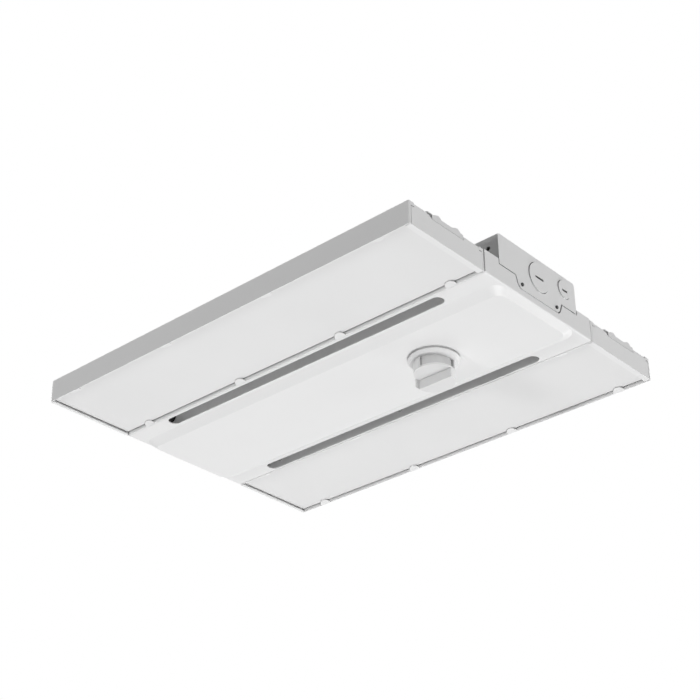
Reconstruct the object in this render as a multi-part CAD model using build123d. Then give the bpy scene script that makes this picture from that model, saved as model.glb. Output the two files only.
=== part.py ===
from build123d import *
import math
import os

# High bay light: two lensed light trays either side of a centre pan, with a driver box
# on top and an occupancy sensor below. All sizes in millimetres.
# X runs along the length, Y across, Z up. Heights in this file are measured above the lip
# plane, the open underside of the trays, and each piece is moved at the end so that the
# origin lies at the centre of the driver box's top face.

# Driving dimensions: trays
fixture_length = 522.0
fixture_width = 410.0
tray_width = 113.8
tray_height = 27.2
sheet = 1.0
bend_radius = 1.8
end_bend_radius = 4.0
corner_ear = 7.5
corner_wrap = 3.2
seam_width = 0.5
inner_seam_width = 0.2
flange_end_gap = 1.0
relief_length = 4.6
relief_width = 0.9
relief_height = 21.5
end_flange_width = 6.6
far_flange_width = 3.2
tab_radius = 6.9
tab_reach = 6.8
tab_tilt = 18.0
tab_inset = 40.5
tabs_per_edge = 4

# Window for the heat sink: its two sides, its depth, and the slanted side at the ends
window_from = -22.6
window_to = 25.4
window_depth = 6.2
window_slant = 8.2
window_slant_depth = 1.7
tongue_slant = 2.0
tongue_setback = 2.9
tongue_thickness = 0.5

# Lenses
lens_recess = 3.3
lens_panel = 1.6
lens_gap = 2.2
lens_foot_length = 6.0
lens_foot_width = 1.5
lens_corner = 1.6

# Heat sinks, boards and light sources
sink_half_width = 40.0
sink_thickness = 5.7
crown_side_gap = 0.3
crown_end_gap = 0.2
rib_rise = 2.9
rib_peaks = (-12.4, 16.2)
rib_long_flank = 8.2
rib_short_flank = 4.6
rib_bulge = 0.35
board_inset = 11.0
board_width = 58.0
board_thickness = 1.6
chip_size = 3.0
chip_height = 0.7
chip_row_offset = 14.0
chip_inset = 42.5
chips_per_row = 20
board_screw_inset = 31.0
board_screws_per_row = 5
rivet_offset = 33.5
rivet_inset = 66.0
rivets_per_row = 4
rivet_radius = 1.6
rivet_head_radius = 3.0
rivet_head_height = 1.2
rivet_rounding = 0.9
rivet_tail_radius = 2.2
rivet_tail_height = 0.6

# Centre pan
side_flange_height = 16.0
end_wall_gaps = {-1: 1.2, 1: 0.3}
slot_inset = 61.0
slot_width = 15.2
slot_from_centre = 80.3
panel_drop = 5.6
panel_inset = 8.0
panel_width = 114.0
panel_corner = 10.0
panel_end_run = 6.5
panel_side_run = 12.0
pan_screw_height = 12.0
pan_screw_inset = 71.0
pan_screws_per_side = 3
lug_half_width = 33.0
lug_top = 19.5

# Driver box and its end plates
box_width = 132.0
box_top_height = 58.7
foot_inset = 11.0
foot_length = 44.0
foot_width = 17.0
hook_hole_radius = 2.6
hook_hole_inset = 12.8
hook_hole_height = 45.0
hook_clearance = 1.0
plate_lower_edge = 22.0
plate_corner = 3.5
plate_flange = 12.0
plate_gap = 1.2
flange_gap = 0.1
tab_top_half = 39.0
tab_bottom_half = 34.0
tab_lower_edge = 8.8
tab_corner = 7.0
tab_screw_offset = 29.5
tab_screw_height = 14.0
cover_screw_offset = 45.0
cover_screw_inset = 6.0

# Knockouts in the junction end plate: radius, distance from the middle, height
large_knockout_radius = 17.4
large_knockout_offset = 1.0
large_knockout_height = 36.2
small_knockout_radius = 11.1
small_knockout_offset = 46.0
small_knockout_height = 42.9
knockout_slit = 0.7
knockout_tie_width = 3.0
knockout_proud = 1.0
knockout_back = 0.6
large_pry_slot = 14.0
small_pry_slot = 8.8
pry_slot_width = 2.6
large_slot_drop = 0.9
small_slot_drop = 1.8

# Driver, its screws and the internal leads
driver_length = 230.0
driver_width = 62.0
driver_height = 34.0
driver_middle_x = -40.0
driver_tab_length = 14.0
driver_tab_thickness = 2.0
driver_corner = 2.0
driver_end_corner = 1.2
driver_screw_offset = 22.0
lead_radius = 2.5
lead_wall_inset = 47.0
lead_from_driver_y = 12.0
lead_turn_y = 38.0
lead_bend = 12.0
lead_sweep = 45.0
grommet_flange = 1.8
grommet_rim = 2.0
lead_slot_play = 1.0
board_plug_width = 10.0
board_plug_height = 6.0
supply_lead_radius = 1.4
supply_lead_run = 36.0
supply_lead_bend = 45.0
sensor_lead_level = 21.0
sensor_lead_run = 15.0
connector_length = 22.0
connector_width = 11.0
connector_height = 8.0
connector_pitch = 17.0
connector_inset = 56.0
connector_rounding = 1.5
wire_hole_radius = 1.6
wire_hole_depth = 9.0
ground_screw_inset = 29.0
ground_screw_height = 40.0

# Sensor
sensor_x = 122.5
sensor_neck_radius = 24.6
sensor_neck_height = 2.3
sensor_flange_radius = 28.0
sensor_flange_edge = 0.8
sensor_flange_height = 5.9
sensor_bevel_radius = 25.3
sensor_hub_radius = 22.0
sensor_drum_height = 13.0
sensor_head_depth = 23.2
sensor_wall = 2.0
sensor_return_x = -20.8
sensor_return_y = -6.2
sensor_return_corner = 2.0
sensor_opening_from = 264.0
sensor_opening_to = 381.0
sensor_window_from = 270.0
sensor_window_to = 362.0
sensor_window_thickness = 1.2
sensor_window_setback = 0.9
sensor_window_overlap = 12.0
sensor_edge = 0.8
nipple_radius = 10.6
nipple_bore = 7.0
nipple_height = 17.0
knockout_hole_radius = 11.1
lock_nut_radius = 15.5
lock_nut_height = 5.0
sensor_board_thickness = 1.6
detector_radius = 4.6
detector_height = 5.0

# Screws: shank radius, head radius, head height
small_screw = (1.5, 2.8, 1.9)
plate_screw = (1.5, 2.0, 1.6)
flush_screw = (1.9, 3.6, 1.0)
ground_screw_size = (2.0, 4.0, 2.5)
screw_gap = 0.05
plate_screw_length = 4.0
plate_screw_rounding = 0.8
flush_screw_length = 5.0

# Positions worked out from the driving dimensions
half_length = fixture_length / 2
half_width = fixture_width / 2
through_sheet = 1.01 * sheet
tray_y = half_width - tray_width / 2
tray_half = tray_width / 2
pan_half = half_width - tray_width
window_low = tray_height - window_depth
sink_bottom = tray_height - sink_thickness
board_length = fixture_length - 2 * board_inset
board_bottom = sink_bottom - board_thickness
panel_top = sheet - panel_drop
board_half_width = board_width / 2
lead_height = board_bottom - board_plug_height / 2
grommet_width = 2 * (lead_radius + grommet_rim + grommet_flange) + lead_slot_play
plate_inner_x = half_length - sheet
box_end = plate_inner_x
box_half = box_width / 2
lead_wall_x = lead_wall_inset - half_length
connector_x = half_length - connector_inset
ground_screw_x = half_length - ground_screw_inset
sensor_low = -panel_drop
flange_low = sensor_low - sensor_flange_height
head_step = flange_low - sensor_drum_height
head_low = flange_low - sensor_head_depth
hub_bore = sensor_hub_radius - sensor_wall
window_back = hub_bore - sensor_window_setback - sensor_window_thickness
to_frame = Pos(0, 0, -box_top_height)


def spread(count, inset):
    """Positions of count things along the fixture, evenly from one inset to the other."""
    span = fixture_length - 2 * inset
    return [(i / (count - 1) - 0.5) * span for i in range(count)]


def block(x0, x1, y0, y1, z0, z1):
    """A box between two corners."""
    size = Box(x1 - x0, y1 - y0, z1 - z0)
    return Pos((x0 + x1) / 2, (y0 + y1) / 2, (z0 + z1) / 2) * size


def upright(radius, x, y, z0, z1):
    """A cylinder along Z."""
    return Pos(x, y, (z0 + z1) / 2) * Cylinder(radius, z1 - z0)


def across(radius, x, z, y0, y1):
    """A cylinder along Y."""
    return Pos(x, (y0 + y1) / 2, z) * Rot(90, 0, 0) * Cylinder(radius, y1 - y0)


def along(radius, y, z, x0, x1):
    """A cylinder along X."""
    return Pos((x0 + x1) / 2, y, z) * Rot(0, 90, 0) * Cylinder(radius, x1 - x0)


def single(shape):
    """The one solid that a boolean result holds."""
    found = shape.solids()
    return found[0] if len(found) == 1 else Compound(children=list(found))


def group(pieces):
    """Several separate solids kept under one name."""
    return Compound(children=[solid for piece in pieces for solid in piece.solids()])


def mirrored(shape):
    """The same piece on the other side of the fixture."""
    return mirror(shape, about=Plane.XZ)


def rounded_block(length, width, z0, z1, corner, edge_z):
    """A box with rounded upright corners and one rounded horizontal rim at edge_z."""
    solid = Pos(0, 0, (z0 + z1) / 2) * Box(length, width, z1 - z0)
    uprights = solid.edges().filter_by(Axis.Z)
    rim = [e for e in solid.edges() if abs(e.center().Z - edge_z) < 0.001]
    return fillet(list(uprights) + rim, corner)


# Light trays

def end_bend(radius):
    """What a wide bend takes off the tray's top edge at both ends, between its corners."""
    middle_x = half_length - end_bend_radius
    middle_z = tray_height - end_bend_radius
    half = tray_half - corner_ear
    corner = block(middle_x, half_length + sheet, -half, half, middle_z, tray_height + sheet)
    corner -= across(radius, middle_x, middle_z, -half - sheet, half + sheet)
    return corner + mirror(corner, about=Plane.YZ)


def end_window():
    """The window's opening in both end walls: one side upright, the other slanted."""
    top = tray_height + sheet
    far = window_from - window_slant
    outline = Polyline((window_to, window_low), (window_to, top), (far, top),
                       (far, tray_height - window_slant_depth), (window_from, window_low), close=True)
    depth = end_bend_radius + sheet
    opening = extrude(Plane.YZ.offset(half_length - end_bend_radius) * make_face(outline), depth)
    return opening + mirror(opening, about=Plane.YZ)


def top_tongue():
    """Thinned tongue of the top sheet beside the heat sink, out to the end, both ends."""
    far = window_from - window_slant
    outline = Polyline((half_length - end_bend_radius - sheet, far),
                       (half_length - tongue_setback, far), (half_length, far + tongue_slant),
                       (half_length, window_from), (half_length - end_bend_radius - sheet, window_from),
                       close=True)
    tongue = extrude(Pos(0, 0, tray_height - tongue_thickness) * make_face(outline), tongue_thickness)
    return tongue + mirror(tongue, about=Plane.YZ)


def lens_tab(x, side):
    """Half-round tab folded in from a long lip and tilted up towards the lens."""
    disc = upright(tab_radius, 0, side * (tab_radius - tab_reach), 0, sheet)
    disc &= block(-tab_radius, tab_radius, *sorted((side * sheet / 2, -side * tab_reach)), 0, sheet)
    tab = Pos(x, side * (tray_half - sheet), 0) * Rot(-side * tab_tilt, 0, 0) * disc
    return tab & block(x - tab_radius, x + tab_radius, -tray_half, tray_half, 0, tray_height)


def light_tray(inner_side):
    """One folded tray, open below, centred on its own middle line, with its holes to the pan."""
    inner_radius = bend_radius - sheet
    outer = rounded_block(fixture_length, tray_width, 0, tray_height, bend_radius, tray_height)
    outer -= end_bend(end_bend_radius)
    inner = rounded_block(fixture_length - 2 * sheet, tray_width - 2 * sheet, -sheet,
                          tray_height - sheet, inner_radius, tray_height - sheet)
    inner -= end_bend(end_bend_radius - sheet)
    tray = outer - inner

    # Half-round lens tabs along both long lips
    for side in (-1, 1):
        for x in spread(tabs_per_edge, tab_inset):
            tray += lens_tab(x, side)

    # Lens flanges folded in at both ends, the wide one at the junction end
    flange_half = tray_half - sheet - flange_end_gap
    for end, width in ((1, end_flange_width), (-1, far_flange_width)):
        xs = sorted((end * (half_length - width), end * (half_length - sheet / 2)))
        tray += block(*xs, -flange_half, flange_half, 0, sheet)

    # Corner seams and their bend reliefs
    seam_y = tray_half - corner_wrap
    for end in (-1, 1):
        for side in (-1, 1):
            xs = sorted((end * (half_length - through_sheet), end * (half_length + sheet)))
            half_seam = (inner_seam_width if side == inner_side else seam_width) / 2
            tray -= block(*xs, side * seam_y - half_seam, side * seam_y + half_seam,
                          -sheet, relief_height)
            ys = sorted((side * (seam_y + half_seam), side * (seam_y - relief_length)))
            tray -= block(*xs, *ys, relief_height - relief_width / 2, relief_height + relief_width / 2)

    # Window for the heat sink, along the top and through both end walls
    tray -= end_window()
    tray += top_tongue()
    tray -= block(-half_length - sheet, half_length + sheet, window_from, window_to,
                  window_low, tray_height + sheet)

    # Rivet holes beside the window, screw holes to the pan, lead hole
    for side in (-1, 1):
        for x in spread(rivets_per_row, rivet_inset):
            tray -= upright(rivet_radius, x, side * rivet_offset, sink_bottom, tray_height + 1)
    inner_wall = sorted((inner_side * (tray_half - 2 * sheet), inner_side * (tray_half + sheet)))
    for x in spread(pan_screws_per_side, pan_screw_inset):
        tray -= across(small_screw[0], x, pan_screw_height, *inner_wall)
    tray -= across(lead_radius + grommet_rim, lead_wall_x, lead_height, *inner_wall)
    return single(tray)


def heat_sink():
    """Ribbed aluminium plate: its base lies under the tray top, its crown fills the window."""
    under = tray_height - sheet
    base_end = half_length - end_bend_radius
    base = block(-base_end, base_end, -sink_half_width, sink_half_width, sink_bottom, under)
    low_y = window_from + crown_side_gap
    high_y = window_to - crown_side_gap
    rib_top = tray_height + rib_rise
    section = Polyline((low_y, sink_bottom), (low_y, tray_height))
    last = low_y
    for peak in rib_peaks:
        foot = peak - rib_long_flank
        toe = peak + rib_short_flank
        middle_z = tray_height + rib_rise / 2
        section += Line((last, tray_height), (foot, tray_height))
        section += ThreePointArc((foot, tray_height), ((foot + peak) / 2, middle_z + rib_bulge),
                                 (peak, rib_top))
        section += ThreePointArc((peak, rib_top), ((peak + toe) / 2 + rib_bulge, middle_z + rib_bulge),
                                 (toe, tray_height))
        last = toe
    section += Polyline((last, tray_height), (high_y, tray_height), (high_y, sink_bottom),
                        (low_y, sink_bottom))
    crown_end = half_length - crown_end_gap
    crown_bar = extrude(Plane.YZ.offset(-crown_end) * make_face(section), 2 * crown_end)
    sink = base + crown_bar
    for side in (-1, 1):
        for x in spread(rivets_per_row, rivet_inset):
            sink -= upright(rivet_radius, x, side * rivet_offset, sink_bottom - 1, under + 1)
    for x in spread(board_screws_per_row, board_screw_inset):
        sink -= upright(small_screw[0], x, 0, sink_bottom - 1, under)
    return single(sink)


def lens():
    """Frosted cover: a flat sheet with a small foot over each of the tray's tilted tabs."""
    play = sheet + lens_gap
    width = tray_width - 2 * play
    cover = Pos(0, 0, lens_recess + lens_panel / 2) * Box(fixture_length - 2 * play, width, lens_panel)
    cover = fillet(cover.edges().filter_by(Axis.Z), lens_corner)
    tilt = math.radians(tab_tilt)
    foot_low = sheet / math.cos(tilt) + (lens_gap + lens_foot_width) * math.tan(tilt)
    half_foot = lens_foot_length / 2
    for side in (-1, 1):
        ys = sorted((side * width / 2, side * (width / 2 - lens_foot_width)))
        for x in spread(tabs_per_edge, tab_inset):
            cover += block(x - half_foot, x + half_foot, *ys, foot_low, lens_recess)
    return single(cover)


def led_board():
    board = block(-board_length / 2, board_length / 2, -board_half_width, board_half_width,
                  board_bottom, sink_bottom)
    for x in spread(board_screws_per_row, board_screw_inset):
        board -= upright(small_screw[0] + screw_gap, x, 0, board_bottom - 1, sink_bottom + 1)
    return single(board)


def led_chips():
    low = board_bottom - chip_height
    half = chip_size / 2
    chips = []
    for x in spread(chips_per_row, chip_inset):
        for y in (-chip_row_offset, chip_row_offset):
            chips.append(block(x - half, x + half, y - half, y + half, low, board_bottom))
    return chips


def board_screws():
    shank, head, height = small_screw
    screws = []
    for x in spread(board_screws_per_row, board_screw_inset):
        screw = upright(shank, x, 0, board_bottom, tray_height - sheet)
        screw += upright(head, x, 0, board_bottom - height, board_bottom)
        screws.append(single(screw))
    return screws


def sink_rivets():
    rivets = []
    for side in (-1, 1):
        for x in spread(rivets_per_row, rivet_inset):
            y = side * rivet_offset
            rivet = upright(rivet_radius, x, y, sink_bottom, tray_height)
            head = upright(rivet_head_radius, x, y, tray_height, tray_height + rivet_head_height)
            top_rim = [e for e in head.edges() if e.center().Z > tray_height + rivet_head_height / 2
                       and e.geom_type == GeomType.CIRCLE]
            rivet += fillet(top_rim, rivet_rounding)
            rivet += upright(rivet_tail_radius, x, y, sink_bottom - rivet_tail_height, sink_bottom)
            rivets.append(single(rivet))
    return rivets


# Centre pan

def raised_panel(top, low):
    """The stamped panel's form between two heights, wide at the top, with rounded corners."""
    panel_length = fixture_length - 2 * panel_inset
    foot = RectangleRounded(panel_length + 2 * panel_end_run, panel_width + 2 * panel_side_run,
                            panel_corner + panel_end_run)
    face = RectangleRounded(panel_length, panel_width, panel_corner)
    return loft([Pos(0, 0, top) * foot, Pos(0, 0, low) * face], ruled=True)


def centre_pan():
    """One folded and stamped sheet: pan, air slots, side flanges and both end walls."""
    outer = rounded_block(fixture_length, 2 * pan_half, 0, tray_height, bend_radius, 0)
    inner = rounded_block(fixture_length - 2 * sheet, 2 * (pan_half - sheet), sheet,
                          tray_height + sheet, bend_radius - sheet, sheet)
    pan = outer - inner
    pan += raised_panel(0, -panel_drop)
    pan -= raised_panel(sheet, panel_top)

    # Side flanges are lower than the end walls, with a relief at each corner
    between = half_length - bend_radius - sheet
    pan -= block(-between, between, -pan_half - 1, pan_half + 1, side_flange_height, tray_height + 1)
    for end in (-1, 1):
        for side in (-1, 1):
            xs = sorted((end * between, end * (between - seam_width)))
            ys = sorted((side * (pan_half - through_sheet), side * (pan_half + sheet)))
            pan -= block(*xs, *ys, bend_radius, tray_height + 1)

            # The end wall stands clear of the trays beside it
            xs = sorted((end * between, end * (half_length + 1)))
            ys = sorted((side * (pan_half - end_wall_gaps[side]), side * (pan_half + sheet)))
            pan -= block(*xs, *ys, bend_radius, tray_height + 1)

        # Cut-out round the end plate, and the lug behind it that takes its screws
        cut_out = extrude(Plane.YZ.offset(plate_inner_x - sheet) * plate_outline(plate_gap), 3 * sheet)
        pan -= cut_out if end > 0 else mirror(cut_out, about=Plane.YZ)
        xs = sorted((end * (plate_inner_x - sheet), end * plate_inner_x))
        pan += block(*xs, -lug_half_width, lug_half_width, sheet / 2, lug_top)

    # Air slots
    for side in (-1, 1):
        slot = SlotOverall(fixture_length - 2 * slot_inset, slot_width)
        pan -= extrude(Pos(0, side * slot_from_centre, -sheet) * slot, 3 * sheet)

    # Holes: sensor nipple, screws to the trays, screws to the end plates, lead holes
    pan -= upright(knockout_hole_radius, sensor_x, 0, -panel_drop - 1, sheet)
    for side in (-1, 1):
        ys = sorted((side * (pan_half - 2 * sheet), side * (pan_half + sheet)))
        for x in spread(pan_screws_per_side, pan_screw_inset):
            pan -= across(small_screw[0] + screw_gap, x, pan_screw_height, *ys)
        pan -= block(lead_wall_x - grommet_width / 2, lead_wall_x + grommet_width / 2, *ys,
                     lead_height - grommet_width / 2, side_flange_height + 1)
    for end in (-1, 1):
        xs = sorted((end * (plate_inner_x - 2 * sheet), end * (plate_inner_x + sheet)))
        for side in (-1, 1):
            pan -= along(plate_screw[0], side * tab_screw_offset, tab_screw_height, *xs)
    return single(pan)


def pan_screws():
    """Screws from the pan's side flange into the tray's inner wall, one side."""
    shank, head, height = small_screw
    inside = pan_half - sheet
    tip = pan_half + 2 * sheet + small_screw[0]
    screws = []
    for x in spread(pan_screws_per_side, pan_screw_inset):
        screw = across(shank, x, pan_screw_height, inside, tip)
        screw += across(head, x, pan_screw_height, inside - height, inside)
        screws.append(single(screw))
    return screws


# Driver box and end plates

def driver_box():
    """Inverted channel over the pan, standing on four feet folded out at its ends."""
    under = box_top_height - sheet
    outer = block(-box_end, box_end, -box_half, box_half, 2 * sheet, box_top_height)
    top_edges = outer.edges().filter_by(Axis.X).group_by(Axis.Z)[-1]
    outer = fillet(top_edges, bend_radius)
    inner = block(-half_length - 1, half_length + 1, -box_half + sheet, box_half - sheet, 0, under)
    inner_edges = inner.edges().filter_by(Axis.X).group_by(Axis.Z)[-1]
    inner = fillet(inner_edges, bend_radius - sheet)
    box = outer - inner
    foot_outer_x = half_length - foot_inset
    foot_inner_x = foot_outer_x - foot_length
    for end in (-1, 1):
        xs = sorted((end * foot_inner_x, end * foot_outer_x))
        for side in (-1, 1):
            ys = sorted((side * (box_half - sheet), side * (box_half + foot_width)))
            foot = block(*xs, *ys, sheet, 2 * sheet)
            box += foot

    # The ends of the side walls stand clear of the pan's end walls and the raised panel
    for end in (-1, 1):
        xs = sorted((end * (half_length - bend_radius - sheet), end * (half_length + 1)))
        box -= block(*xs, -box_half - 1, box_half + 1, 0, tray_height + sheet)

    # Hook holes, flush screw holes, driver screw holes, lead holes
    for end in (-1, 1):
        hook_x = end * (half_length - hook_hole_inset)
        box -= across(hook_hole_radius, hook_x, hook_hole_height, -box_half - 1, box_half + 1)
        for side in (-1, 1):
            x = end * (half_length - cover_screw_inset)
            box -= flush_cone(x, side * cover_screw_offset)
        tab_x = driver_middle_x + end * (driver_length / 2 + driver_tab_length / 2)
        for side in (-1, 1):
            box -= upright(small_screw[0], tab_x, side * driver_screw_offset, under - 1,
                           box_top_height + 1)
    box -= across(lead_radius + grommet_rim, lead_wall_x, lead_height, -box_half - 1, box_half + 1)
    box -= across(ground_screw_size[0], ground_screw_x, ground_screw_height, box_half - 2 * sheet,
                  box_half + 1)
    return single(box)


def flush_cone(x, y):
    """Countersunk hole or screw form at the box top: a cone with a shank below it."""
    shank, head, depth = flush_screw
    cone = Pos(x, y, box_top_height - depth / 2) * Cone(shank, head, depth)
    return cone + upright(shank, x, y, box_top_height - flush_screw_length, box_top_height)


def plate_outline(gap):
    """The end plate's outline, in Y and height, with the central tab, grown by a gap."""
    top = box_top_height + gap
    half = box_half + gap
    shoulder = plate_lower_edge - gap
    tab_low = tab_lower_edge - gap
    tab_top = tab_top_half + gap
    tab_bottom = tab_bottom_half + gap
    points = [(-half, shoulder), (-tab_top, shoulder), (-tab_bottom, tab_low), (tab_bottom, tab_low),
              (tab_top, shoulder), (half, shoulder), (half, top), (-half, top)]
    face = make_face(Polyline(*points, close=True))
    top_corners = face.vertices().sort_by(Axis.Y)[-2:]
    face = fillet(top_corners, plate_corner)
    tab_corners = face.vertices().sort_by(Axis.Y)[:2]
    return fillet(tab_corners, tab_corner + gap)


def end_plate(end):
    """End plate, flush with the pan's end wall, with flanges inside the box."""
    plate = extrude(Plane.YZ.offset(plate_inner_x) * plate_outline(0), sheet)
    under = box_top_height - sheet - flange_gap
    inside = box_half - sheet - flange_gap
    root = half_length - sheet / 2
    deep = half_length - plate_flange
    flange_low = tray_height + 3 * sheet
    plate += block(deep, root, -inside + bend_radius, inside - bend_radius, under - sheet, under)
    for side in (-1, 1):
        ys = sorted((side * inside, side * (inside - sheet)))
        plate += block(deep, root, *ys, flange_low, under - bend_radius)
    for side in (-1, 1):
        plate -= along(plate_screw[0] + screw_gap, side * tab_screw_offset, tab_screw_height,
                       plate_inner_x - 1, half_length + 1)
        plate -= upright(flush_screw[0], half_length - cover_screw_inset, side * cover_screw_offset,
                         under - 2 * sheet, under + 1)
        hook_x = half_length - hook_hole_inset
        plate -= across(hook_hole_radius + hook_clearance, hook_x, hook_hole_height, -box_half, box_half)
    if end < 0:
        plate = mirror(plate, about=Plane.YZ)
    return plate


def knockout(plate, radius, y, z, pry_length, pry_drop):
    """Half-sheared knockout disc: slit round the disc, two ties, disc proud, pry slot."""
    disc_radius = radius - knockout_slit
    ring = along(radius, y, z, plate_inner_x - 1, half_length + 1)
    ring -= along(disc_radius, y, z, plate_inner_x - 2, half_length + 2)
    ties = block(plate_inner_x - 2, half_length + 2, y - knockout_tie_width / 2,
                 y + knockout_tie_width / 2, z - radius - 1, z + radius + 1)
    plate = plate - (ring - ties)
    plate += along(disc_radius, y, z, half_length - sheet / 2, half_length + knockout_proud)
    plate -= along(disc_radius, y, z, plate_inner_x - 1, plate_inner_x + knockout_back)
    slot = block(plate_inner_x - 1, half_length + 2, y - pry_length / 2, y + pry_length / 2,
                 z - pry_drop - pry_slot_width / 2, z - pry_drop + pry_slot_width / 2)
    return plate - slot


def junction_end_plate():
    plate = end_plate(1)
    plate = knockout(plate, large_knockout_radius, large_knockout_offset, large_knockout_height,
                     large_pry_slot, large_slot_drop)
    plate = knockout(plate, small_knockout_radius, small_knockout_offset, small_knockout_height,
                     small_pry_slot, small_slot_drop)
    return single(plate)


def plate_screws():
    """Round-headed screws through both end plate tabs into the pan's end walls."""
    shank, head, height = plate_screw
    screws = []
    for end in (-1, 1):
        outer = half_length
        for side in (-1, 1):
            y = side * tab_screw_offset
            screw = along(shank, y, tab_screw_height, half_length - plate_screw_length, outer)
            cap = along(head, y, tab_screw_height, outer, outer + height)
            rim = cap.edges().filter_by(GeomType.CIRCLE).sort_by(Axis.X)[-1]
            screw += fillet(rim, plate_screw_rounding)
            screws.append(single(screw if end > 0 else mirror(screw, about=Plane.YZ)))
    return screws


def cover_screws():
    """Countersunk screws through the box top into the end plates' flanges."""
    screws = []
    for end in (-1, 1):
        for side in (-1, 1):
            x = end * (half_length - cover_screw_inset)
            screws.append(single(flush_cone(x, side * cover_screw_offset)))
    return screws


# Driver and wiring

def led_driver():
    """Potted driver: a sealed case with a mounting tab at each end, under the box top."""
    top = box_top_height - sheet
    half = driver_length / 2
    case = block(driver_middle_x - half, driver_middle_x + half, -driver_width / 2,
                 driver_width / 2, top - driver_height, top)
    case = fillet(case.edges().filter_by(Axis.X), driver_corner)
    case = fillet(case.edges().filter_by(Axis.Z), driver_end_corner)
    reach = half + driver_tab_length
    tabs = block(driver_middle_x - reach, driver_middle_x + reach, -driver_width / 2 + driver_corner,
                 driver_width / 2 - driver_corner, top - driver_tab_thickness, top)
    driver = case + tabs
    for x in driver_tab_middles():
        for side in (-1, 1):
            driver -= upright(small_screw[0] + screw_gap, x, side * driver_screw_offset,
                              top - 2 * driver_tab_thickness, top + 1)
    return single(driver)


def driver_tab_middles():
    offset = driver_length / 2 + driver_tab_length / 2
    return [driver_middle_x - offset, driver_middle_x + offset]


def driver_screws():
    shank, head, height = small_screw
    seat = box_top_height - sheet - driver_tab_thickness
    screws = []
    for x in driver_tab_middles():
        for side in (-1, 1):
            y = side * driver_screw_offset
            screw = upright(shank, x, y, seat, box_top_height)
            screw += upright(head, x, y, seat - height, seat)
            screws.append(single(screw))
    return screws


def lead(points, radius, bends):
    """A round lead along straight runs joined by tangent arcs."""
    path = FilletPolyline(*points, radius=bends)
    start = path ^ 0
    return single(sweep(start * Circle(radius), path=path))


def tray_lead():
    """Two-core lead from the driver's end, through both walls, to a tray's board."""
    driver_end = driver_middle_x - driver_length / 2
    start_z = box_top_height - sheet - driver_height + 2 * lead_radius
    points = [(driver_end, lead_from_driver_y, start_z), (lead_wall_x, lead_from_driver_y, start_z),
              (lead_wall_x, lead_turn_y, lead_height),
              (lead_wall_x, tray_y - board_plug_width / 2, lead_height)]
    return lead(points, lead_radius, [lead_bend, lead_sweep])


def supply_lead(y):
    """Single-core lead from the driver's other end down to a connector."""
    driver_end = driver_middle_x + driver_length / 2
    start_z = box_top_height - sheet - driver_height + 2 * lead_radius
    end_x = connector_x - connector_length / 2
    end_z = panel_top + connector_height / 2
    points = [(driver_end, y, start_z), (driver_end + supply_lead_run, y, start_z),
              (end_x - supply_lead_run, y, end_z), (end_x, y, end_z)]
    return lead(points, supply_lead_radius, [supply_lead_bend, supply_lead_bend])


def sensor_lead():
    """Lead from the top of the sensor's nipple over to the middle connector."""
    end_x = connector_x - connector_length / 2
    end_z = panel_top + connector_height / 2
    over_x = (sensor_x + end_x) / 2
    points = [(sensor_x, 0, flange_low), (sensor_x, 0, sensor_lead_level), (over_x, 0, sensor_lead_level),
              (end_x - sensor_lead_run, 0, end_z), (end_x, 0, end_z)]
    return lead(points, lead_radius, [lead_bend, lead_bend, lead_bend])


def grommets():
    """Rubber grommets where a lead passes the box wall and the tray wall, one side."""
    made = []
    hole = lead_radius + grommet_rim
    for wall_in, wall_out in ((box_half - sheet, box_half), (pan_half, pan_half + sheet)):
        ring = across(hole + grommet_flange, lead_wall_x, lead_height, wall_in - grommet_flange,
                      wall_out + grommet_flange)
        groove = across(hole + grommet_flange + 1, lead_wall_x, lead_height, wall_in, wall_out)
        groove -= across(hole, lead_wall_x, lead_height, wall_in - 1, wall_out + 1)
        ring -= groove
        ring -= across(lead_radius, lead_wall_x, lead_height, wall_in - 10, wall_out + 10)
        made.append(single(ring))
    return made


def board_plug():
    """Push-in terminal on the board where the lead ends."""
    half = board_plug_width / 2
    return block(lead_wall_x - half, lead_wall_x + half, tray_y - half, tray_y + half,
                 board_bottom - board_plug_height, board_bottom)


def supply_connector(y):
    """Push-in connector lying on the pan, with two wire holes towards the knockouts."""
    body = block(connector_x - connector_length / 2, connector_x + connector_length / 2,
                 y - connector_width / 2, y + connector_width / 2, panel_top,
                 panel_top + connector_height)
    body = fillet(body.edges().filter_by(Axis.X), connector_rounding)
    for hole_y in (y - connector_width / 4, y + connector_width / 4):
        body -= along(wire_hole_radius, hole_y, panel_top + connector_height / 2,
                      connector_x + connector_length / 2 - wire_hole_depth,
                      connector_x + connector_length)
    return single(body)


def ground_screw():
    """Hexagon-headed earthing screw inside the box's side wall."""
    shank, head, height = ground_screw_size
    inside = box_half - sheet
    screw = across(shank, ground_screw_x, ground_screw_height, inside, box_half)
    hexagon = RegularPolygon(head, 6)
    plane = Plane(origin=(ground_screw_x, inside, ground_screw_height), z_dir=(0, -1, 0))
    screw += extrude(plane * hexagon, height)
    return single(screw)


# Sensor

def sensor_base():
    """Moulded base: shadow-gap neck, bevelled flange, and threaded nipple up through the pan."""
    neck_low = sensor_low - sensor_neck_height
    edge_low = neck_low - sensor_flange_edge
    nipple_top = sensor_low + nipple_height
    section = Polyline((nipple_bore, nipple_top), (nipple_radius, nipple_top),
                       (nipple_radius, sensor_low), (sensor_neck_radius, sensor_low),
                       (sensor_neck_radius, neck_low), (sensor_flange_radius, neck_low),
                       (sensor_flange_radius, edge_low), (sensor_bevel_radius, flange_low),
                       (nipple_bore, flange_low), close=True)
    body = revolve(Plane.XZ * make_face(section), Axis.Z)
    return Pos(sensor_x, 0, 0) * body


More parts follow.
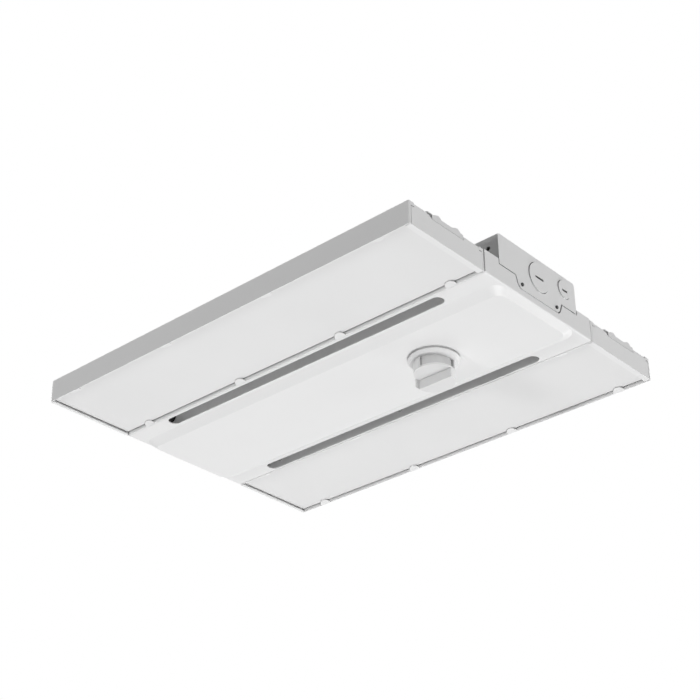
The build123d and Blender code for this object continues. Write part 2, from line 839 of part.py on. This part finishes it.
def sensor_head():
    """Stepped drum: the near half stops at a flat face above which a window is cut."""
    drum = upright(sensor_hub_radius, 0, 0, head_low, flange_low)
    low_rim = drum.edges().filter_by(GeomType.CIRCLE).sort_by(Axis.Z)[0]
    drum = fillet(low_rim, sensor_edge)
    far = sensor_hub_radius + 1
    step = make_face(Polyline((sensor_return_x, 0), (far, 0), (far, -far), (-far, -far),
                              (-far, sensor_return_y), (sensor_return_x, sensor_return_y), close=True))
    corner = step.vertices().filter_by_position(Axis.Y, -sensor_edge, sensor_edge).sort_by(Axis.X)[0]
    step = fillet(corner, sensor_return_corner)
    drum -= extrude(Pos(0, 0, head_low - 1) * step, head_step - head_low + 1)

    # Hollow inside, shallow over the near half
    hollow = upright(hub_bore, 0, 0, head_low + sensor_wall, flange_low + 1)
    hollow -= block(-far, far, -far, sensor_wall, head_low, head_step + sensor_wall)
    drum -= hollow

    # Window opening in the near wall
    opening = sector(hub_bore - 1, far, head_step + sensor_wall, flange_low + 1,
                     sensor_opening_from, sensor_opening_to)
    return Pos(sensor_x, 0, 0) * single(drum - opening)


def sector(inner, outer, z0, z1, first, last):
    """Part of a ring between two angles."""
    reach = 3 * outer
    a0 = math.radians(first)
    a1 = math.radians(last)
    mid = (a0 + a1) / 2
    wedge = make_face(Polyline((0, 0), (reach * math.cos(a0), reach * math.sin(a0)),
                               (2 * reach * math.cos(mid), 2 * reach * math.sin(mid)),
                               (reach * math.cos(a1), reach * math.sin(a1)), close=True))
    ring = upright(outer, 0, 0, z0, z1) - upright(inner, 0, 0, z0 - 1, z1 + 1)
    return ring & extrude(Pos(0, 0, z0) * wedge, z1 - z0)


def sensor_window():
    """Curved window behind the opening: a raised band, and a set-back one that runs past its ends."""
    low = head_step + sensor_wall
    band = sector(window_back, hub_bore, low, flange_low, sensor_window_from, sensor_window_to)
    band += sector(window_back, window_back + sensor_window_thickness, low, flange_low,
                   sensor_opening_from - sensor_window_overlap, sensor_opening_to + sensor_window_overlap)
    return Pos(sensor_x, 0, 0) * single(band)


def sensor_board():
    return upright(window_back, sensor_x, 0, flange_low - sensor_board_thickness, flange_low)


def sensor_detector():
    top = flange_low - sensor_board_thickness
    can = upright(detector_radius, sensor_x, -hub_bore / 2, top - detector_height, top)
    low_rim = can.edges().filter_by(GeomType.CIRCLE).sort_by(Axis.Z)[0]
    return fillet(low_rim, sensor_edge)


def lock_nut():
    nut = extrude(Pos(0, 0, panel_top) * RegularPolygon(lock_nut_radius, 8), lock_nut_height)
    nut -= upright(nipple_radius, 0, 0, panel_top - 1, panel_top + lock_nut_height + 1)
    return Pos(sensor_x, 0, 0) * single(nut)


os.makedirs("parts", exist_ok=True)

right = Pos(0, tray_y, 0)
pieces = {
    "right_lens": right * lens(),
    "right_led_board": right * led_board(),
    "right_led_chips": group([right * chip for chip in led_chips()]),
    "right_board_screws": group([right * screw for screw in board_screws()]),
    "right_sink_rivets": group([right * rivet for rivet in sink_rivets()]),
    "right_pan_screws": group(pan_screws()),
    "right_lead": tray_lead(),
    "right_board_plug": board_plug(),
    "right_grommets": group(grommets()),
}
for name in list(pieces):
    pieces[name.replace("right_", "left_")] = mirrored(pieces[name])

# Trays and heat sinks lie the same way round on both sides
for name, side in (("left", -1), ("right", 1)):
    pieces[name + "_tray"] = Pos(0, side * tray_y, 0) * light_tray(-side)
    pieces[name + "_heat_sink"] = Pos(0, side * tray_y, 0) * heat_sink()

pieces["centre_pan"] = centre_pan()
pieces["driver_box"] = driver_box()
pieces["junction_end_plate"] = junction_end_plate()
pieces["far_end_plate"] = single(end_plate(-1))
pieces["end_plate_screws"] = group(plate_screws())
pieces["cover_screws"] = group(cover_screws())
pieces["led_driver"] = led_driver()
pieces["driver_screws"] = group(driver_screws())
for name, y in (("line", -connector_pitch), ("neutral", connector_pitch)):
    pieces[name + "_connector"] = supply_connector(y)
    pieces[name + "_lead"] = supply_lead(y)
pieces["sensor_connector"] = supply_connector(0)
pieces["sensor_lead"] = sensor_lead()
pieces["ground_screw"] = ground_screw()
pieces["sensor_base"] = sensor_base()
pieces["sensor_head"] = sensor_head()
pieces["sensor_window"] = sensor_window()
pieces["sensor_board"] = sensor_board()
pieces["sensor_detector"] = sensor_detector()
pieces["sensor_lock_nut"] = lock_nut()

for name, shape in pieces.items():
    export_step(to_frame * shape, os.path.join("parts", name + ".step"))
    print(name, len(shape.solids()), "solids")
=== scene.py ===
import math

import bpy
from mathutils import Matrix, Vector

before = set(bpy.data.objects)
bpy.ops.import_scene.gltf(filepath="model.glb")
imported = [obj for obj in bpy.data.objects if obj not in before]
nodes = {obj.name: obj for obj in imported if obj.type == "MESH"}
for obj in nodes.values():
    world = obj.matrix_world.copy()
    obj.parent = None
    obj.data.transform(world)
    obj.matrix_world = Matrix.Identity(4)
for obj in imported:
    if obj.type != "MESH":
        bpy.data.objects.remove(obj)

scene = bpy.context.scene


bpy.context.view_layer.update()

# Camera: the photograph's viewing angle, from below and beyond the end with the knockouts
camera_place = Vector((1.01915, -1.13864, -0.8833))
camera_azimuth = math.radians(41.7225)
camera_elevation = math.radians(-29.8526)
camera_roll = math.radians(0.3781)
camera_lens = 80.99
camera_sensor = 36.0
camera_nearest = 0.05
camera_farthest = 60.0

forward = Vector((-math.sin(camera_azimuth) * math.cos(camera_elevation),
                  math.cos(camera_azimuth) * math.cos(camera_elevation),
                  -math.sin(camera_elevation)))
level = Vector((math.cos(camera_azimuth), math.sin(camera_azimuth), 0.0))
down = forward.cross(level)
image_x = math.cos(camera_roll) * level + math.sin(camera_roll) * down
image_y = math.cos(camera_roll) * down - math.sin(camera_roll) * level
rotation = Matrix((image_x, -image_y, -forward)).transposed().to_4x4()

camera_data = bpy.data.cameras.new("camera")
camera_data.lens = camera_lens
camera_data.sensor_width = camera_sensor
camera_data.clip_start = camera_nearest
camera_data.clip_end = camera_farthest
camera = bpy.data.objects.new("camera", camera_data)
scene.collection.objects.link(camera)
camera.matrix_world = Matrix.Translation(camera_place) @ rotation
scene.camera = camera
scene.view_settings.view_transform = "Standard"


# Node helpers

def grey(value):
    return (value, value, value)


def opaque(color):
    return (*color, 1.0)


def node(tree, kind, **inputs):
    """A new shader node with values set on its inputs."""
    made = tree.nodes.new(kind)
    for key, value in inputs.items():
        made.inputs[key.replace("_", " ")].default_value = value
    return made


def shaded(name, color, roughness, **extra):
    """A Principled material and its tree, shader, output and texture coordinates."""
    material = bpy.data.materials.new(name)
    material.use_nodes = True
    tree = material.node_tree
    tree.nodes.clear()
    shader = node(tree, "ShaderNodeBsdfPrincipled", Base_Color=opaque(color),
                  Roughness=roughness, **extra)
    output = tree.nodes.new("ShaderNodeOutputMaterial")
    tree.links.new(shader.outputs["BSDF"], output.inputs["Surface"])
    place = tree.nodes.new("ShaderNodeTexCoord").outputs["Object"]
    return material, tree, shader, output, place


def noise(tree, place, scale, detail=3.0, stretch=None):
    """Noise in the object's own metres, optionally stretched along an axis."""
    if stretch is not None:
        mapping = node(tree, "ShaderNodeMapping", Scale=stretch)
        tree.links.new(place, mapping.inputs["Vector"])
        place = mapping.outputs["Vector"]
    texture = node(tree, "ShaderNodeTexNoise", Scale=scale, Detail=detail)
    tree.links.new(place, texture.inputs["Vector"])
    return texture.outputs["Fac"]


# The values that a noise texture mostly takes
noise_low = 0.3
noise_high = 0.7


def ranged(tree, value, out_low, out_high):
    """A noise value mapped to another range."""
    made = node(tree, "ShaderNodeMapRange", From_Min=noise_low, From_Max=noise_high,
                To_Min=out_low, To_Max=out_high)
    tree.links.new(value, made.inputs["Value"])
    return made.outputs["Result"]


def bump(tree, shader, height, strength, depth):
    """A fine relief on the shader, its depth in metres."""
    made = node(tree, "ShaderNodeBump", Strength=strength, Distance=depth)
    tree.links.new(height, made.inputs["Height"])
    tree.links.new(made.outputs["Normal"], shader.inputs["Normal"])


def tinted(tree, shader, value, dark, light):
    """Base colour between two tones by a noise value."""
    mix = tree.nodes.new("ShaderNodeMix")
    mix.data_type = "RGBA"
    mix.inputs["A"].default_value = opaque(dark)
    mix.inputs["B"].default_value = opaque(light)
    tree.links.new(ranged(tree, value, 0.0, 1.0), mix.inputs["Factor"])
    tree.links.new(mix.outputs["Result"], shader.inputs["Base Color"])


def uneven_gloss(tree, shader, value, roughness, smoother, rougher):
    """Roughness that varies about its mean by a noise value."""
    gloss = ranged(tree, value, roughness - smoother, roughness + rougher)
    tree.links.new(gloss, shader.inputs["Roughness"])


def seen_rays(tree):
    """One for rays that show the background: from the camera, reflected or through glass."""
    path = tree.nodes.new("ShaderNodeLightPath")
    seen = path.outputs["Is Camera Ray"]
    for ray in ("Is Glossy Ray", "Is Transmission Ray"):
        larger = tree.nodes.new("ShaderNodeMath")
        larger.operation = "MAXIMUM"
        tree.links.new(seen, larger.inputs[0])
        tree.links.new(path.outputs[ray], larger.inputs[1])
        seen = larger.outputs[0]
    return seen


# Materials: texture scales are per metre, and bump depths are in metres

peel_scale = 900.0
peel_detail = 2.0
peel_depth = 0.00006
coat_patch_scale = 14.0
coat_patch_tone = 0.985
coat_smoother = 0.03
coat_rougher = 0.04


def powder_coat(name, tone, roughness, peel):
    """Powder coat: fine orange peel and a slight variation of tone and gloss."""
    material, tree, shader, _, place = shaded(name, grey(tone), roughness)
    patches = noise(tree, place, coat_patch_scale)
    bump(tree, shader, noise(tree, place, peel_scale, peel_detail), peel, peel_depth)
    tinted(tree, shader, patches, grey(tone * coat_patch_tone), grey(tone))
    uneven_gloss(tree, shader, patches, roughness, coat_smoother, coat_rougher)
    return material


lens_grain_scale = 2400.0
lens_grain_detail = 1.0
lens_grain_strength = 0.25
lens_grain_depth = 0.00004
lens_cloud_scale = 9.0
lens_cloud_detail = 2.0
lens_cloud_change = 0.01


def frosted(name, tone, roughness, ior):
    """Frosted acrylic: a fine matt grain over a plain, faintly cloudy white."""
    material, tree, shader, _, place = shaded(name, grey(tone), roughness, IOR=ior)
    grain = noise(tree, place, lens_grain_scale, lens_grain_detail)
    cloud = noise(tree, place, lens_cloud_scale, lens_cloud_detail)
    bump(tree, shader, grain, lens_grain_strength, lens_grain_depth)
    tinted(tree, shader, cloud, grey(tone - lens_cloud_change), grey(tone + lens_cloud_change))
    return material


moulded_grain_detail = 2.0
moulded_grain_depth = 0.00005
moulded_patch_scale = 40.0
moulded_patch_tone = 0.97


def moulded(name, color, roughness, grain_scale=1500.0, strength=0.3):
    """Moulded plastic with a fine spark-eroded grain."""
    material, tree, shader, _, place = shaded(name, color, roughness)
    grain = noise(tree, place, grain_scale, moulded_grain_detail)
    bump(tree, shader, grain, strength, moulded_grain_depth)
    dark = [channel * moulded_patch_tone for channel in color]
    tinted(tree, shader, noise(tree, place, moulded_patch_scale), dark, color)
    return material


finish_scale = 500.0
finish_strength = 0.15
finish_depth = 0.00003
metal_smoother = 0.06
metal_rougher = 0.08


def metal(name, color, roughness, stretch=(1.0, 1.0, 1.0)):
    """Plain or plated metal with a faint finish, drawn out where it is stretched."""
    material, tree, shader, _, place = shaded(name, color, roughness, Metallic=1.0)
    lines = noise(tree, place, finish_scale, stretch=stretch)
    bump(tree, shader, lines, finish_strength, finish_depth)
    uneven_gloss(tree, shader, lines, roughness, metal_smoother, metal_rougher)
    return material


finishes = {
    powder_coat("white_coat", tone=0.84, roughness=0.42, peel=0.35): [
        "left_tray", "right_tray", "centre_pan", "driver_box", "junction_end_plate",
        "far_end_plate"],
    frosted("frosted_lens", tone=0.80, roughness=0.42, ior=1.49): ["left_lens", "right_lens"],
    powder_coat("sink_coat", tone=0.80, roughness=0.45, peel=0.3): [
        "left_heat_sink", "right_heat_sink"],
    moulded("board_white", (0.80, 0.80, 0.79), roughness=0.5): [
        "left_led_board", "right_led_board"],
    moulded("phosphor", (0.80, 0.62, 0.18), roughness=0.45): ["left_led_chips", "right_led_chips"],
    metal("zinc_steel", (0.62, 0.62, 0.61), roughness=0.32): [
        "left_board_screws", "right_board_screws", "left_pan_screws", "right_pan_screws",
        "cover_screws", "driver_screws", "sensor_lock_nut"],
    metal("rivet_metal", grey(0.72), roughness=0.35): ["left_sink_rivets", "right_sink_rivets"],
    moulded("lead_sleeve", (0.035, 0.035, 0.037), roughness=0.5): [
        "left_lead", "right_lead", "line_lead", "neutral_lead", "sensor_lead"],
    moulded("white_plastic", (0.75, 0.75, 0.74), roughness=0.4): [
        "left_board_plug", "right_board_plug"],
    moulded("grommet_rubber", grey(0.02), roughness=0.6): ["left_grommets", "right_grommets"],
    moulded("black_oxide", (0.012, 0.012, 0.013), roughness=0.35): ["end_plate_screws"],
    metal("driver_case", grey(0.66), roughness=0.38, stretch=(1.0, 12.0, 12.0)): ["led_driver"],
    moulded("connector_plastic", (0.62, 0.18, 0.03), roughness=0.35): [
        "line_connector", "neutral_connector", "sensor_connector"],
    moulded("ground_green", (0.02, 0.16, 0.05), roughness=0.35): ["ground_screw"],
    moulded("sensor_white", grey(0.77), roughness=0.38, grain_scale=1800.0, strength=0.2): [
        "sensor_base", "sensor_head"],
    moulded("sensor_window", grey(0.62), roughness=0.25, grain_scale=1800.0, strength=0.05): [
        "sensor_window"],
    moulded("board_green", (0.015, 0.10, 0.03), roughness=0.4): ["sensor_board"],
    metal("detector_can", grey(0.75), roughness=0.2): ["sensor_detector"],
}
for material, names in finishes.items():
    for name in names:
        for slot in nodes[name].material_slots:
            slot.material = material
assert sum(len(names) for names in finishes.values()) == len(nodes)

white = opaque(grey(1.0))

# Floor: plain and pale, far enough below that it never hides the underside
floor_height = -4.0
floor_half = 20.0
floor_tone = 0.82
floor_roughness = 0.8
floor_glow_level = 0.86

floor_corners = [(-floor_half, -floor_half), (floor_half, -floor_half),
                 (floor_half, floor_half), (-floor_half, floor_half)]
floor_mesh = bpy.data.meshes.new("floor")
floor_mesh.from_pydata([(x, y, floor_height) for x, y in floor_corners], [], [(0, 1, 2, 3)])
floor = bpy.data.objects.new("floor", floor_mesh)
scene.collection.objects.link(floor)

floor_material, floor_tree, floor_shader, floor_output, _ = shaded(
    "floor", grey(floor_tone), floor_roughness)
glow = node(floor_tree, "ShaderNodeEmission", Color=white)
glow_level = floor_tree.nodes.new("ShaderNodeMath")
glow_level.operation = "MULTIPLY"
glow_level.inputs[1].default_value = floor_glow_level
floor_tree.links.new(seen_rays(floor_tree), glow_level.inputs[0])
floor_tree.links.new(glow_level.outputs[0], glow.inputs["Strength"])
floor_sum = floor_tree.nodes.new("ShaderNodeAddShader")
floor_tree.links.new(floor_shader.outputs["BSDF"], floor_sum.inputs[0])
floor_tree.links.new(glow.outputs[0], floor_sum.inputs[1])
floor_tree.links.new(floor_sum.outputs[0], floor_output.inputs["Surface"])
floor_mesh.materials.append(floor_material)

# World: white to the camera and in reflections, a faint dome for the diffuse light
dome_strength = 0.1
backdrop_strength = 1.0

world = bpy.data.worlds.new("studio")
scene.world = world
world.use_nodes = True
sky = world.node_tree
sky.nodes.clear()
dome = node(sky, "ShaderNodeBackground", Color=white, Strength=dome_strength)
backdrop = node(sky, "ShaderNodeBackground", Color=white, Strength=backdrop_strength)
choice = sky.nodes.new("ShaderNodeMixShader")
sky.links.new(seen_rays(sky), choice.inputs["Fac"])
sky.links.new(dome.outputs[0], choice.inputs[1])
sky.links.new(backdrop.outputs[0], choice.inputs[2])
sky_output = sky.nodes.new("ShaderNodeOutputWorld")
sky.links.new(choice.outputs[0], sky_output.inputs["Surface"])

# Lamps: square ones at the studio's radius, aimed at the object. Each has a name, a direction
# from the object, a size in metres and a power in watts.
lamp_distance = 3.9
lamp_aim = Vector((0.0, 0.0, -0.04))
lamps = [
    ("key", (0.12, 0.22, -0.97), 1.5, 77.0),
    ("end", (0.99, 0.1, 0.0), 1.5, 64.0),
    ("side", (-0.1, -0.96, -0.23), 0.6, 51.0),
    ("far_fill", (0.3, 0.9, -0.3), 1.5, 24.0),
    ("low_fill", (-0.6, 0.45, -0.66), 1.5, 12.0),
    ("top_fill", (-0.93, 0.0, 0.36), 1.5, 36.0),
    ("overhead", (-0.2, 0.03, 0.98), 0.9, 30.0),
]
for name, direction, size, power in lamps:
    data = bpy.data.lights.new(name, "AREA")
    data.shape = "SQUARE"
    data.size = size
    data.energy = power
    lamp = bpy.data.objects.new(name, data)
    scene.collection.objects.link(lamp)
    lamp.location = lamp_aim + Vector(direction).normalized() * lamp_distance
    lamp.rotation_euler = Vector(direction).to_track_quat("Z", "Y").to_euler()
